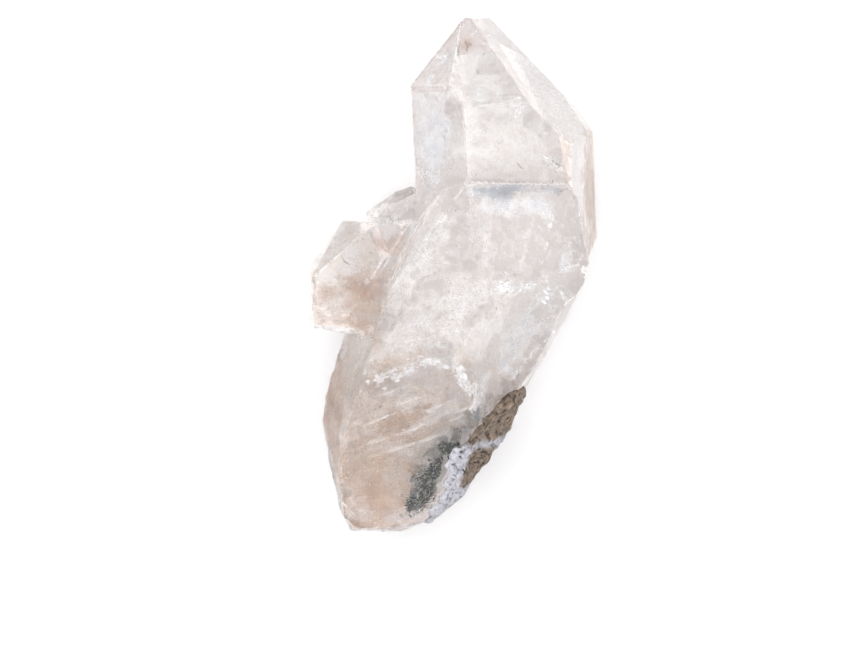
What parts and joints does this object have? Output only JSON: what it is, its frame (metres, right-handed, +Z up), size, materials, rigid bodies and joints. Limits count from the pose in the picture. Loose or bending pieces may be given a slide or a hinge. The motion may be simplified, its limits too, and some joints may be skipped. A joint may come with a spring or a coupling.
{
  "type": "quartz crystal cluster",
  "caption": "Natural clear quartz cluster lying on its broken back: a tall six-sided main crystal, a front and a side crystal on one root, with host rock on its flank.",
  "frame": {"origin": "middle of the bounding box at the flat back that the cluster rests on", "axes": "+Z up from the table, +Y along the main crystal towards its tip, +X to the right seen from above"},
  "size_m": [0.1148, 0.2018, 0.077],
  "materials": {
    "quartz": "clear natural faces with milky veils and hackly fractures",
    "host_rock": "rough pitted tan rock with white patches"
  },
  "bodies": {
    "root": {"crystal_cluster": "quartz", "matrix_crust": "host_rock"}
  },
  "joints": []
}
